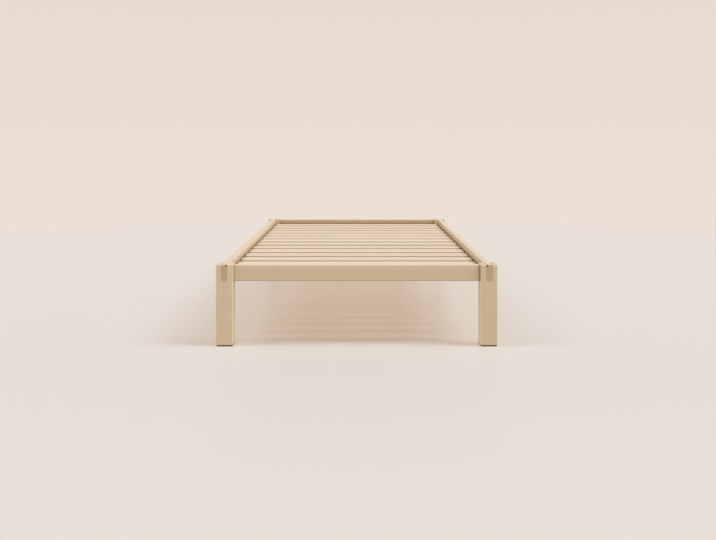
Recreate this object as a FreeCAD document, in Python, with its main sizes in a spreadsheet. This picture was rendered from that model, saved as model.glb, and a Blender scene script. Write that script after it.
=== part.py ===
"""Toddler floor bed: a low solid-wood frame for a 70 x 140 cm mattress.

Frame of the part, in millimetres: origin on the floor under the middle of the bed, +Z up,
+Y along the bed, X across it. The foot end is at -Y, the left side at -X.
Four posts carry two side rails, whose tongues drop into open-topped slots in the posts,
and two end rails on stub tenons. One bolt per corner runs through post and tongue into a
barrel nut in the end rail. Fourteen slats lie on two ledgers screwed to the side rails.
"""

import FreeCAD, Part
import math
import os

import Sketcher

Vector = FreeCAD.Vector

doc = FreeCAD.newDocument("ToddlerFloorBed")

# ---------------------------------------------------------------- driving dimensions
sheet = doc.addObject("Spreadsheet::Sheet", "Sizes")
DIMENSIONS = [
    ("bed_width", 776.0, "overall width, outer faces of the posts"),
    ("bed_length", 1480.0, "overall length, end faces of the posts"),
    ("bed_height", 225.0, "floor to the tops of posts and side rails"),
    ("post_side", 47.0, "section of the square posts"),
    ("post_arris", 2.5, "roundover on the posts"),
    ("pad_side", 44.0, "foot pad, side"),
    ("pad_thick", 3.0, "foot pad, thickness"),
    ("pad_corner", 4.0, "foot pad, corner radius"),
    ("end_thick", 18.0, "thickness of the end rails"),
    ("side_thick", 20.0, "thickness of the side rails"),
    ("side_out", 1.0, "how far the side rails stand outside the posts' middle"),
    ("tongue_thick", 16.0, "thickness of the side rails' tongues"),
    ("rail_depth", 47.0, "height of the side rails"),
    ("end_drop", 2.0, "how far the end rails stop below the posts"),
    ("rail_arris", 2.5, "roundover on the rails' outer and lower edges"),
    ("inner_arris", 5.0, "roundover on the side rails' upper inner edge"),
    ("mouth_chamfer", 0.4, "chamfer round the slot's mouth"),
    ("tongue_chamfer", 0.6, "chamfer round the tongue's end"),
    ("joint_play", 0.15, "play on each side of a tongue or tenon"),
    ("shoulder_play", 0.15, "play at each rail shoulder"),
    ("tenon_long", 10.0, "length of the end rail's stub tenon"),
    ("tenon_thick", 12.0, "thickness of the stub tenon"),
    ("tenon_tall", 30.0, "height of the stub tenon, round ends included"),
    ("mortise_deep", 10.5, "depth of the mortise in the post"),
    ("bolt_level", 198.0, "height of the corner bolts above the floor"),
    ("bolt_bore", 7.0, "clearance bore for the corner bolt"),
    ("bolt_shank", 6.0, "corner bolt, shank diameter"),
    ("bolt_long", 90.0, "corner bolt, length under the head"),
    ("bolt_head", 15.0, "corner bolt, head diameter"),
    ("bolt_head_thick", 2.4, "corner bolt, head thickness"),
    ("bolt_socket", 4.0, "corner bolt, hexagon socket across flats"),
    ("bolt_socket_deep", 3.5, "corner bolt, depth of the socket"),
    ("recess_wide", 16.0, "head recess in the post, diameter"),
    ("recess_deep", 3.0, "head recess in the post, depth"),
    ("bore_reach", 59.0, "bolt bore in the end rail, from the tenon's end"),
    ("nut_reach", 36.0, "barrel nut, from the post's inner face"),
    ("nut_wide", 10.0, "barrel nut, diameter"),
    ("nut_long", 14.0, "barrel nut, length"),
    ("nut_bore_deep", 16.0, "barrel nut bore, depth from the rail's inner face"),
    ("nut_slot_wide", 1.4, "screwdriver slot in the barrel nut, width"),
    ("nut_slot_deep", 1.2, "screwdriver slot in the barrel nut, depth"),
    ("slat_count", 14.0, "number of slats"),
    ("slat_wide", 80.0, "width of a slat"),
    ("slat_thick", 12.0, "thickness of a slat"),
    ("slat_gap", 22.0, "gap between slats"),
    ("slat_level", 205.0, "height of the slats' upper faces above the floor"),
    ("slat_end_play", 4.0, "gap between a slat's end and the side rail"),
    ("slat_corner", 12.0, "radius of the slats' corners, seen from above"),
    ("slat_arris", 0.6, "roundover on the slats' upper edges"),
    ("notch_play", 1.5, "play between an end slat's notch and the post"),
    ("notch_corner", 3.0, "inner radius of the notch"),
    ("ledger_wide", 24.0, "width of the ledgers"),
    ("ledger_end_play", 2.0, "gap between a ledger's end and the post"),
    ("ledger_arris", 2.0, "roundover on the ledgers' inner edges"),
    ("slat_screw_in", 14.0, "slat screw, from the side rail's inner face"),
    ("slat_screw_wide", 3.5, "slat screw, diameter"),
    ("slat_screw_long", 20.0, "slat screw, length under the head"),
    ("slat_screw_head", 7.0, "slat screw, head diameter"),
    ("slat_screw_head_thick", 2.6, "slat screw, head thickness"),
    ("slat_screw_sunk", 3.0, "slat screw, counterbore depth in the ledger"),
    ("slat_screw_sunk_wide", 8.5, "slat screw, counterbore diameter"),
    ("ledger_screw_wide", 4.0, "ledger screw, diameter"),
    ("ledger_screw_long", 35.0, "ledger screw, overall length"),
    ("ledger_screw_head", 8.0, "ledger screw, head diameter"),
    ("ledger_screw_count", 6.0, "ledger screws per side"),
    ("cross_wide", 1.2, "driver recess in the screws, width of an arm"),
    ("cross_deep", 1.4, "driver recess in the screws, depth"),
    ("cross_span", 4.0, "driver recess in the screws, across the arms"),
]
for row, (alias, value, note) in enumerate(DIMENSIONS, 1):
    sheet.set("A%d" % row, note)
    sheet.set("B%d" % row, str(value))
    sheet.setAlias("B%d" % row, alias)
doc.recompute()


class Size:
    """A length that keeps its expression on the sheet together with its present value."""

    def __init__(self, text, value):
        self.text = text
        self.value = float(value)

    def _with(self, other, sign, value):
        return Size("(%s %s %s)" % (self.text, sign, other.text), value)

    def __add__(self, other):
        other = size(other)
        return self._with(other, "+", self.value + other.value)

    def __sub__(self, other):
        other = size(other)
        return self._with(other, "-", self.value - other.value)

    def __mul__(self, other):
        other = size(other)
        return self._with(other, "*", self.value * other.value)

    def __truediv__(self, other):
        other = size(other)
        return self._with(other, "/", self.value / other.value)

    def __neg__(self):
        return Size("(0 - %s)" % self.text, -self.value)


def size(x):
    return x if isinstance(x, Size) else Size(repr(float(x)), x)


class Sheet:
    """Reads a dimension by its alias, as in S.post_side."""

    def __getattr__(self, alias):
        return Size("Sizes." + alias, getattr(sheet, alias))


S = Sheet()

# ---------------------------------------------------------------- lengths worked out from the sheet
post_tall = S.bed_height - S.pad_thick
post_x = S.bed_width / 2 - S.post_side / 2
post_y = S.bed_length / 2 - S.post_side / 2
rail_foot = S.bed_height - S.rail_depth  # underside of all four rails
end_depth = S.rail_depth - S.end_drop
side_x = post_x + S.side_out  # middle planes of the side rails
inner_x = side_x - S.side_thick / 2  # inner faces of the side rails
clear_x = S.bed_width - S.post_side * 2  # between the posts, across
clear_y = S.bed_length - S.post_side * 2  # between the posts, along
pitch = S.slat_wide + S.slat_gap
first_slat = pitch * (S.slat_count - 1) / 2  # distance of the first slat's middle from the origin
ledger_top = S.slat_level - S.slat_thick
ledger_tall = ledger_top - rail_foot
slat_long = (inner_x - S.slat_end_play) * 2
screw_x = inner_x - S.slat_screw_in
ledger_screw_pitch = pitch * 2
first_ledger_screw = ledger_screw_pitch * (S.ledger_screw_count - 1) / 2

pieces = []  # (label, object) of every sub-part


# ---------------------------------------------------------------- sketch and feature helpers
def origin_plane(body, role):
    for feature in body.Origin.OriginFeatures:
        if feature.Role == role:
            return feature
    raise ValueError(role)


def new_body(label):
    body = doc.addObject("PartDesign::Body", label)
    body.Label = label
    return body


def new_sketch(body, name, role, offset=None):
    """A sketch on one of the body's own origin planes, moved along its normal by offset."""
    sk = body.newObject("Sketcher::SketchObject", name)
    sk.AttachmentSupport = [(origin_plane(body, role), "")]
    sk.MapMode = "FlatFace"
    if offset is not None:
        sk.AttachmentOffset = FreeCAD.Placement(
            Vector(0, 0, offset.value), FreeCAD.Rotation()
        )
        sk.setExpression("AttachmentOffset.Base.z", offset.text)
    return sk


def bind(sk, name, kind, refs, amount):
    """A driving constraint whose value comes from the sheet."""
    index = sk.addConstraint(Sketcher.Constraint(kind, *refs, amount.value))
    sk.renameConstraint(index, name)
    sk.setExpression("Constraints." + name, amount.text)


def draw_rectangle(sk, wide, tall, x=0.0, y=0.0, tag=""):
    """Rectangle wide x tall whose middle is at x, y."""
    x, y = size(x), size(y)
    left, low = x - wide / 2, y - tall / 2
    a = Vector(left.value, low.value, 0)
    b = Vector(left.value + wide.value, low.value, 0)
    c = Vector(left.value + wide.value, low.value + tall.value, 0)
    d = Vector(left.value, low.value + tall.value, 0)
    g = sk.GeometryCount
    sk.addGeometry(
        [
            Part.LineSegment(a, b),
            Part.LineSegment(b, c),
            Part.LineSegment(c, d),
            Part.LineSegment(d, a),
        ]
    )
    for i in range(4):
        sk.addConstraint(
            Sketcher.Constraint("Coincident", g + i, 2, g + (i + 1) % 4, 1)
        )
    sk.addConstraint(Sketcher.Constraint("Horizontal", g))
    sk.addConstraint(Sketcher.Constraint("Vertical", g + 1))
    sk.addConstraint(Sketcher.Constraint("Horizontal", g + 2))
    sk.addConstraint(Sketcher.Constraint("Vertical", g + 3))
    bind(sk, "wide" + tag, "DistanceX", (g, 1, g, 2), wide)
    bind(sk, "tall" + tag, "DistanceY", (g + 1, 1, g + 1, 2), tall)
    bind(sk, "left" + tag, "DistanceX", (-1, 1, g, 1), left)
    bind(sk, "low" + tag, "DistanceY", (-1, 1, g, 1), low)


def draw_trough(sk, wide, low, high, across):
    """Upright profile with straight sides, a flat top at high and a half-round bottom at low."""
    r = wide / 2
    centre = low + r
    rv, cv, hv, xv = r.value, centre.value, high.value, across.value
    g = sk.GeometryCount
    sk.addGeometry(
        [
            Part.LineSegment(Vector(xv + rv, cv, 0), Vector(xv + rv, hv, 0)),
            Part.LineSegment(Vector(xv + rv, hv, 0), Vector(xv - rv, hv, 0)),
            Part.LineSegment(Vector(xv - rv, hv, 0), Vector(xv - rv, cv, 0)),
            Part.ArcOfCircle(
                Part.Circle(Vector(xv, cv, 0), Vector(0, 0, 1), rv), math.pi, 2 * math.pi
            ),
        ]
    )
    sk.addConstraint(Sketcher.Constraint("Coincident", g, 2, g + 1, 1))
    sk.addConstraint(Sketcher.Constraint("Coincident", g + 1, 2, g + 2, 1))
    sk.addConstraint(Sketcher.Constraint("Tangent", g + 2, 2, g + 3, 1))
    sk.addConstraint(Sketcher.Constraint("Tangent", g + 3, 2, g, 1))
    sk.addConstraint(Sketcher.Constraint("Vertical", g))
    sk.addConstraint(Sketcher.Constraint("Horizontal", g + 1))
    sk.addConstraint(Sketcher.Constraint("Vertical", g + 2))
    bind(sk, "across", "DistanceX", (-1, 1, g + 3, 3), across)
    bind(sk, "radius", "Radius", (g + 3,), r)
    bind(sk, "centre", "DistanceY", (-1, 1, g + 3, 3), centre)
    bind(sk, "high", "DistanceY", (-1, 1, g, 2), high)


def draw_tongue(sk, wide, high, inner, outer):
    """Upright profile on the axis, from height 0 to high: half-round bottom, and upper corners
    rounded to the radius inner on the +X side and outer on the other."""
    r = wide / 2
    rv, hv, iv, ov = r.value, high.value, inner.value, outer.value
    g = sk.GeometryCount
    normal = Vector(0, 0, 1)
    sk.addGeometry(
        [
            Part.LineSegment(Vector(rv, rv, 0), Vector(rv, hv - iv, 0)),
            Part.ArcOfCircle(
                Part.Circle(Vector(rv - iv, hv - iv, 0), normal, iv), 0, math.pi / 2
            ),
            Part.LineSegment(Vector(rv - iv, hv, 0), Vector(ov - rv, hv, 0)),
            Part.ArcOfCircle(
                Part.Circle(Vector(ov - rv, hv - ov, 0), normal, ov), math.pi / 2, math.pi
            ),
            Part.LineSegment(Vector(-rv, hv - ov, 0), Vector(-rv, rv, 0)),
            Part.ArcOfCircle(
                Part.Circle(Vector(0, rv, 0), normal, rv), math.pi, 2 * math.pi
            ),
        ]
    )
    for i in range(6):
        sk.addConstraint(
            Sketcher.Constraint("Tangent", g + i, 2, g + (i + 1) % 6, 1)
        )
    sk.addConstraint(Sketcher.Constraint("Vertical", g))
    sk.addConstraint(Sketcher.Constraint("Horizontal", g + 2))
    sk.addConstraint(Sketcher.Constraint("Vertical", g + 4))
    sk.addConstraint(Sketcher.Constraint("PointOnObject", g + 5, 3, -2))
    bind(sk, "radius", "Radius", (g + 5,), r)
    bind(sk, "centre", "DistanceY", (-1, 1, g + 5, 3), r)
    bind(sk, "high", "DistanceY", (-1, 1, g + 2, 1), high)
    bind(sk, "inner", "Radius", (g + 1,), inner)
    bind(sk, "outer", "Radius", (g + 3,), outer)


def draw_obround(sk, wide, tall, middle):
    """Upright slot profile with half-round ends, its middle at height middle."""
    r = wide / 2
    up, down = middle + tall / 2 - r, middle - tall / 2 + r
    rv, uv, dv = r.value, up.value, down.value
    g = sk.GeometryCount
    sk.addGeometry(
        [
            Part.LineSegment(Vector(rv, dv, 0), Vector(rv, uv, 0)),
            Part.ArcOfCircle(
                Part.Circle(Vector(0, uv, 0), Vector(0, 0, 1), rv), 0, math.pi
            ),
            Part.LineSegment(Vector(-rv, uv, 0), Vector(-rv, dv, 0)),
            Part.ArcOfCircle(
                Part.Circle(Vector(0, dv, 0), Vector(0, 0, 1), rv), math.pi, 2 * math.pi
            ),
        ]
    )
    sk.addConstraint(Sketcher.Constraint("Tangent", g, 2, g + 1, 1))
    sk.addConstraint(Sketcher.Constraint("Tangent", g + 1, 2, g + 2, 1))
    sk.addConstraint(Sketcher.Constraint("Tangent", g + 2, 2, g + 3, 1))
    sk.addConstraint(Sketcher.Constraint("Tangent", g + 3, 2, g, 1))
    sk.addConstraint(Sketcher.Constraint("Vertical", g))
    sk.addConstraint(Sketcher.Constraint("PointOnObject", g + 1, 3, -2))
    sk.addConstraint(Sketcher.Constraint("PointOnObject", g + 3, 3, -2))
    bind(sk, "radius", "Radius", (g + 3,), r)
    bind(sk, "down", "DistanceY", (-1, 1, g + 3, 3), down)
    bind(sk, "up", "DistanceY", (-1, 1, g + 1, 3), up)


def draw_circle(sk, wide, x=0.0, y=0.0, tag=""):
    x, y = size(x), size(y)
    g = sk.GeometryCount
    sk.addGeometry(
        Part.Circle(Vector(x.value, y.value, 0), Vector(0, 0, 1), wide.value / 2)
    )
    bind(sk, "bore" + tag, "Diameter", (g,), wide)
    bind(sk, "across" + tag, "DistanceX", (-1, 1, g, 3), x)
    bind(sk, "along" + tag, "DistanceY", (-1, 1, g, 3), y)


def draw_chain(sk, points):
    """Closed polygon through points, each a pair of lengths from the sketch's origin."""
    n = len(points)
    g = sk.GeometryCount
    where = [Vector(size(u).value, size(v).value, 0) for u, v in points]
    sk.addGeometry(
        [Part.LineSegment(where[i], where[(i + 1) % n]) for i in range(n)]
    )
    for i in range(n):
        sk.addConstraint(
            Sketcher.Constraint("Coincident", g + i, 2, g + (i + 1) % n, 1)
        )
    for i, (u, v) in enumerate(points):
        bind(sk, "u%d" % i, "DistanceX", (-1, 1, g + i, 1), size(u))
        bind(sk, "v%d" % i, "DistanceY", (-1, 1, g + i, 1), size(v))


def pad(body, name, sk, length, both=False):
    feature = body.newObject("PartDesign::Pad", name)
    feature.Profile = sk
    feature.Length = length.value
    feature.setExpression("Length", length.text)
    if both:
        feature.SideType = "Symmetric"
    finish(feature)
    return feature


def pocket(body, name, sk, length=None, both=False, along_normal=False):
    """Cut of the given depth, or right through with no depth. It must take wood away."""
    before = body.Shape.Volume
    feature = body.newObject("PartDesign::Pocket", name)
    feature.Profile = sk
    if length is None:
        feature.Type = "ThroughAll"
    else:
        feature.Length = length.value
        feature.setExpression("Length", length.text)
    if both:
        feature.SideType = "Symmetric"
    feature.Reversed = along_normal
    finish(feature)
    if not feature.Shape.Volume < before - 0.01:
        raise RuntimeError("%s cuts nothing" % feature.Label)
    return feature


def finish(feature):
    feature.Profile[0].Visibility = False
    doc.recompute()
    if "Invalid" in feature.State or "Error" in feature.State:
        raise RuntimeError("%s failed" % feature.Label)
    if feature.Shape.isNull() or not feature.Shape.isValid():
        raise RuntimeError("%s has no valid shape" % feature.Label)


def edges_where(shape, test):
    """Names of the edges whose ends and middle all pass the test."""
    names = []
    for i, edge in enumerate(shape.Edges, 1):
        a, b = edge.ParameterRange
        points = [edge.valueAt(a), edge.valueAt((a + b) / 2), edge.valueAt(b)]
        if all(test(p) for p in points):
            names.append("Edge%d" % i)
    return names


def dress(body, kind, name, amount, test):
    """Fillet or Chamfer on the edges of the body's last feature that pass the test."""
    base = body.Tip
    names = edges_where(base.Shape, test)
    if not names:
        raise RuntimeError("%s found no edges" % name)
    feature = body.newObject("PartDesign::" + kind, name)
    feature.Base = (base, names)
    prop = "Radius" if kind == "Fillet" else "Size"
    setattr(feature, prop, amount.value)
    feature.setExpression(prop, amount.text)
    doc.recompute()
    if "Invalid" in feature.State or "Error" in feature.State:
        raise RuntimeError("%s failed" % feature.Label)
    if not feature.Shape.isValid() or feature.Shape.Volume <= 0:
        raise RuntimeError("%s has no valid shape" % feature.Label)
    if abs(feature.Shape.Volume - base.Shape.Volume) < 0.01:
        raise RuntimeError("%s did nothing" % feature.Label)
    return feature


def row_along_y(body, name, originals, count, length):
    """Straight row of a feature, from its own place towards +Y of the body."""
    before = body.Shape.Volume
    feature = body.newObject("PartDesign::LinearPattern", name)
    feature.Originals = originals
    feature.Direction = (origin_plane(body, "Y_Axis"), [""])
    feature.Length = length.value
    feature.setExpression("Length", length.text)
    feature.Occurrences = int(count.value)
    feature.setExpression("Occurrences", count.text)
    body.Tip = feature
    doc.recompute()
    if "Invalid" in feature.State or "Error" in feature.State:
        raise RuntimeError("%s failed" % feature.Label)
    if not feature.Shape.Volume < before - 0.01:
        raise RuntimeError("%s cuts nothing" % feature.Label)
    return feature


def put(body, x=None, y=None, z=None, turned=False, label=None):
    """Places a piece in the bed. A turned piece is the same piece, turned half round about Z."""
    if turned:
        body.Placement = FreeCAD.Placement(
            Vector(0, 0, 0), FreeCAD.Rotation(Vector(0, 0, 1), 180)
        )
    for axis, amount in (("x", x), ("y", y), ("z", z)):
        if amount is not None:
            body.setExpression("Placement.Base." + axis, amount.text)
    pieces.append((label or body.Label, body))


def near(a, b, slack=0.02):
    return abs(a - b) < slack


# ---------------------------------------------------------------- posts
# All four posts are the same piece, with its inner side towards +X of the body.
def make_post(label, x, y, turned):
    body = new_body(label)
    half = S.post_side / 2

    sk = new_sketch(body, label + "_section", "XY_Plane")
    draw_rectangle(sk, S.post_side, S.post_side)
    pad(body, label + "_blank", sk, post_tall)
    dress(body, "Fillet", label + "_arrises", S.post_arris, lambda p: True)

    # Slot for the side rail's tongue: open at the top, half-round at the bottom.
    sk = new_sketch(body, label + "_slot_profile", "XZ_Plane")
    draw_trough(
        sk,
        S.tongue_thick + S.joint_play * 2,
        post_tall - S.rail_depth - S.joint_play,
        post_tall + 5,
        -S.side_out,
    )
    pocket(body, label + "_slot", sk, S.post_side * 2, both=True)
    rim = S.tongue_thick.value / 2 + S.joint_play.value
    out = S.side_out.value
    face = half.value
    dress(
        body,
        "Chamfer",
        label + "_slot_mouth",
        S.mouth_chamfer,
        lambda p: near(abs(p.y), face)
        and abs(p.x + out) <= rim + 0.02
        and p.z > (post_tall - S.rail_depth).value - 1
        and p.z < post_tall.value - 0.5,
    )

    # Blind mortise for the end rail's stub tenon, on the inner side.
    sk = new_sketch(body, label + "_mortise_profile", "YZ_Plane", half)
    draw_obround(
        sk,
        S.tenon_thick + S.joint_play * 2,
        S.tenon_tall + S.joint_play * 2,
        S.bolt_level - S.pad_thick,
    )
    pocket(body, label + "_mortise", sk, S.mortise_deep)

    # Bolt bore from the outer side, with a recess for the head.
    sk = new_sketch(body, label + "_bolt_profile", "YZ_Plane", -half)
    draw_circle(sk, S.bolt_bore, 0, S.bolt_level - S.pad_thick)
    pocket(body, label + "_bolt_bore", sk, S.post_side, along_normal=True)
    sk = new_sketch(body, label + "_recess_profile", "YZ_Plane", -half)
    draw_circle(sk, S.recess_wide, 0, S.bolt_level - S.pad_thick)
    pocket(body, label + "_head_recess", sk, S.recess_deep, along_normal=True)

    put(body, x, y, S.pad_thick, turned)


make_post("leg_front_left", -post_x, -post_y, False)
make_post("leg_back_left", -post_x, post_y, False)
make_post("leg_front_right", post_x, -post_y, True)
make_post("leg_back_right", post_x, post_y, True)


# ---------------------------------------------------------------- foot pads
def make_pad(label, x, y):
    body = new_body(label)
    sk = new_sketch(body, label + "_outline", "XY_Plane")
    draw_rectangle(sk, S.pad_side, S.pad_side)
    pad(body, label + "_felt", sk, S.pad_thick)
    edge = S.pad_side.value / 2
    dress(
        body,
        "Fillet",
        label + "_corners",
        S.pad_corner,
        lambda p: near(abs(p.x), edge) and near(abs(p.y), edge),
    )
    put(body, x, y, None)


make_pad("foot_pad_front_left", -post_x, -post_y)
make_pad("foot_pad_front_right", post_x, -post_y)
make_pad("foot_pad_back_left", -post_x, post_y)
make_pad("foot_pad_back_right", post_x, post_y)


# ---------------------------------------------------------------- side rails
# Inner face towards +X of the body. The rail runs between the posts at its full rectangular
# section; a half-round bottomed tongue carries on through each post to its end face.
def make_side_rail(label, x, turned):
    body = new_body(label)
    half = S.side_thick / 2

    sk = new_sketch(body, label + "_section", "XZ_Plane")
    draw_rectangle(sk, S.side_thick, S.rail_depth, 0, S.rail_depth / 2)
    pad(body, label + "_bar", sk, clear_y - S.shoulder_play * 2, both=True)

    side, top = half.value, S.rail_depth.value
    dress(
        body,
        "Fillet",
        label + "_inner_arris",
        S.inner_arris,
        lambda p: near(p.x, side) and near(p.z, top),
    )
    dress(
        body,
        "Fillet",
        label + "_outer_arris",
        S.rail_arris,
        lambda p: near(p.x, -side) and near(p.z, top),
    )
    dress(
        body,
        "Fillet",
        label + "_lower_arrises",
        S.rail_arris,
        lambda p: near(abs(p.x), side) and near(p.z, 0),
    )
    sk = new_sketch(body, label + "_tongue_profile", "XZ_Plane")
    draw_tongue(sk, S.tongue_thick, S.rail_depth, S.inner_arris, S.rail_arris)
    pad(body, label + "_tongues", sk, S.bed_length, both=True)
    end = (S.bed_length / 2).value
    dress(
        body,
        "Chamfer",
        label + "_tongue_ends",
        S.tongue_chamfer,
        lambda p: near(abs(p.y), end),
    )

    # Cross bores for the corner bolts, one in the middle of each tongue.
    level = S.bolt_level - rail_foot
    sk = new_sketch(body, label + "_bolt_profile", "YZ_Plane")
    draw_circle(sk, S.bolt_bore, post_y, level, "_back")
    draw_circle(sk, S.bolt_bore, -post_y, level, "_front")
    pocket(body, label + "_bolt_bores", sk, S.side_thick * 2, both=True)

    # Pilot bores for the ledger screws, in a row on the inner face.
    sk = new_sketch(body, label + "_pilot_profile", "YZ_Plane", half)
    draw_circle(sk, S.ledger_screw_wide, -first_ledger_screw, ledger_tall / 2)
    one = pocket(
        body, label + "_pilot", sk, S.ledger_screw_long - S.ledger_wide + 1
    )
    row_along_y(
        body,
        label + "_pilots",
        [one],
        S.ledger_screw_count,
        first_ledger_screw * 2,
    )
    put(body, x, None, rail_foot, turned)


make_side_rail("side_rail_left", -side_x, False)
make_side_rail("side_rail_right", side_x, True)


# ---------------------------------------------------------------- end rails
# Inner face towards +Y of the body.
def make_end_rail(label, y, turned):
    body = new_body(label)
    half = S.end_thick / 2
    level = S.bolt_level - rail_foot

    sk = new_sketch(body, label + "_section", "YZ_Plane")
    draw_rectangle(sk, S.end_thick, end_depth, 0, end_depth / 2)
    pad(body, label + "_bar", sk, clear_x - S.shoulder_play * 2, both=True)
    side, top = half.value, end_depth.value
    dress(
        body,
        "Fillet",
        label + "_arrises",
        S.rail_arris,
        lambda p: near(abs(p.y), side) and (near(p.z, 0) or near(p.z, top)),
    )
    sk = new_sketch(body, label + "_tenon_profile", "YZ_Plane")
    draw_obround(sk, S.tenon_thick, S.tenon_tall, level)
    pad(body, label + "_tenons", sk, clear_x + S.tenon_long * 2, both=True)

    # Bolt bore from each tenon's end, and the barrel nut's bore across it.
    tip = clear_x / 2 + S.tenon_long
    sk = new_sketch(body, label + "_bore_profile", "YZ_Plane", tip)
    draw_circle(sk, S.bolt_bore, 0, level)
    pocket(body, label + "_bolt_bore_right", sk, S.bore_reach)
    sk = new_sketch(body, label + "_bore_profile_left", "YZ_Plane", -tip)
    draw_circle(sk, S.bolt_bore, 0, level)
    pocket(body, label + "_bolt_bore_left", sk, S.bore_reach, along_normal=True)
    sk = new_sketch(body, label + "_nut_profile", "XZ_Plane", -half)
    draw_circle(sk, S.nut_wide, clear_x / 2 - S.nut_reach, level, "_right")
    draw_circle(sk, S.nut_wide, S.nut_reach - clear_x / 2, level, "_left")
    pocket(body, label + "_nut_bores", sk, S.nut_bore_deep, along_normal=True)
    put(body, None, y, rail_foot, turned)


make_end_rail("end_rail_front", -post_y, False)
make_end_rail("end_rail_back", post_y, True)


# ---------------------------------------------------------------- slat ledgers
# Inner edge towards +X of the body; the other side lies against the side rail.
def make_ledger(label, x, turned):
    body = new_body(label)
    half = S.ledger_wide / 2

    sk = new_sketch(body, label + "_section", "XZ_Plane")
    draw_rectangle(sk, S.ledger_wide, ledger_tall, 0, ledger_tall / 2)
    pad(body, label + "_bar", sk, clear_y - S.ledger_end_play * 2, both=True)
    side = half.value
    dress(
        body,
        "Fillet",
        label + "_arrises",
        S.ledger_arris,
        lambda p: near(p.x, side)
        and (near(p.z, 0) or near(p.z, ledger_tall.value)),
    )

    # Slat screws from below: counterbored through holes, one under each slat.
    across = S.slat_screw_in - half
    sk = new_sketch(body, label + "_slat_screw_profile", "XY_Plane")
    draw_circle(sk, S.slat_screw_wide, across, -first_slat)
    hole = pocket(body, label + "_slat_screw", sk, ledger_tall * 2, both=True)
    sk = new_sketch(body, label + "_counterbore_profile", "XY_Plane")
    draw_circle(sk, S.slat_screw_sunk_wide, across, -first_slat)
    bore = pocket(
        body, label + "_counterbore", sk, S.slat_screw_sunk, along_normal=True
    )
    row_along_y(
        body, label + "_slat_screws", [hole, bore], S.slat_count, first_slat * 2
    )

    # Countersunk holes for the screws into the side rail, midway between slats.
    sk = new_sketch(body, label + "_rail_screw_profile", "YZ_Plane", half)
    draw_circle(sk, S.ledger_screw_wide, -first_ledger_screw, ledger_tall / 2)
    doc.recompute()
    before = body.Shape.Volume
    sunk = body.newObject("PartDesign::Hole", label + "_rail_screw")
    sunk.Profile = sk
    doc.recompute()
    sunk.ThreadType = "None"
    sunk.DepthType = "Dimension"
    sunk.DrillPoint = "Flat"
    sunk.HoleCutType = "Countersink"
    sunk.HoleCutCountersinkAngle = 90
    sunk.setExpression("Diameter", S.ledger_screw_wide.text)
    sunk.setExpression("HoleCutDiameter", S.ledger_screw_head.text)
    sunk.setExpression("Depth", (S.ledger_wide + 5).text)
    doc.recompute()
    if not sunk.Shape.Volume < before - 1 or "Invalid" in sunk.State:
        raise RuntimeError(sunk.Label + " failed")
    row_along_y(
        body,
        label + "_rail_screws",
        [sunk],
        S.ledger_screw_count,
        first_ledger_screw * 2,
    )
    put(body, x, None, rail_foot, turned)


make_ledger("slat_ledger_left", S.ledger_wide / 2 - inner_x, False)
make_ledger("slat_ledger_right", inner_x - S.ledger_wide / 2, True)


# ---------------------------------------------------------------- slats
def make_slat(label, number):
    """Slat 1 is at the foot end. The first and last are notched round the posts' corners."""
    body = new_body(label)
    last = int(S.slat_count.value)
    notched = number in (1, last)
    half_l, half_w = slat_long / 2, S.slat_wide / 2

    sk = new_sketch(body, label + "_outline", "XY_Plane")
    if notched:
        # Outer edge towards -Y of the body, with both outer corners cut away.
        stop_x = clear_x / 2 - S.notch_play
        row_edge = first_slat + half_w  # outer edge of the slat, from the origin
        stop_y = row_edge - (clear_y / 2 - S.notch_play) - half_w
        draw_chain(
            sk,
            [
                (-stop_x, -half_w),
                (stop_x, -half_w),
                (stop_x, stop_y),
                (half_l, stop_y),
                (half_l, half_w),
                (-half_l, half_w),
                (-half_l, stop_y),
                (-stop_x, stop_y),
            ],
        )
    else:
        draw_rectangle(sk, slat_long, S.slat_wide)
    pad(body, label + "_board", sk, S.slat_thick)
    top = S.slat_thick.value
    if notched:
        x0, y0 = stop_x.value, stop_y.value
        dress(
            body,
            "Fillet",
            label + "_notch_corners",
            S.notch_corner,
            lambda p: near(abs(p.x), x0) and near(p.y, y0),
        )
    tip, w = half_l.value, half_w.value
    dress(
        body,
        "Fillet",
        label + "_end_corners",
        S.slat_corner,
        lambda p: near(abs(p.x), tip) and near(abs(p.y), w),
    )
    dress(
        body,
        "Fillet",
        label + "_arrises",
        S.slat_arris,
        lambda p: near(p.z, top),
    )

    # Blind pilot bores in the underside for the slat screws.
    sk = new_sketch(body, label + "_pilot_profile", "XY_Plane")
    draw_circle(sk, S.slat_screw_wide, screw_x, 0, "_right")
    draw_circle(sk, S.slat_screw_wide, -screw_x, 0, "_left")
    reach = S.slat_screw_long - (ledger_tall - S.slat_screw_sunk) + 0.5
    pocket(body, label + "_pilots", sk, reach, along_normal=True)

    where = pitch * (number - 1) - first_slat
    put(body, None, where, ledger_top, turned=(number == last))


for number in range(1, int(S.slat_count.value) + 1):
    make_slat("slat_%02d" % number, number)


# ---------------------------------------------------------------- fasteners
# Each kind is modelled once, and its identical copies are grouped in one piece of the bed.
def make_driver_recess(body, label, offset):
    """Cross recess in a head that faces -Z of the body."""
    for axis, wide, tall in (
        ("a", S.cross_span, S.cross_wide),
        ("b", S.cross_wide, S.cross_span),
    ):
        sk = new_sketch(body, label + "_recess_" + axis, "XY_Plane", offset)
        draw_rectangle(sk, wide, tall)
        pocket(body, label + "_cut_" + axis, sk, S.cross_deep, along_normal=True)


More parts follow.
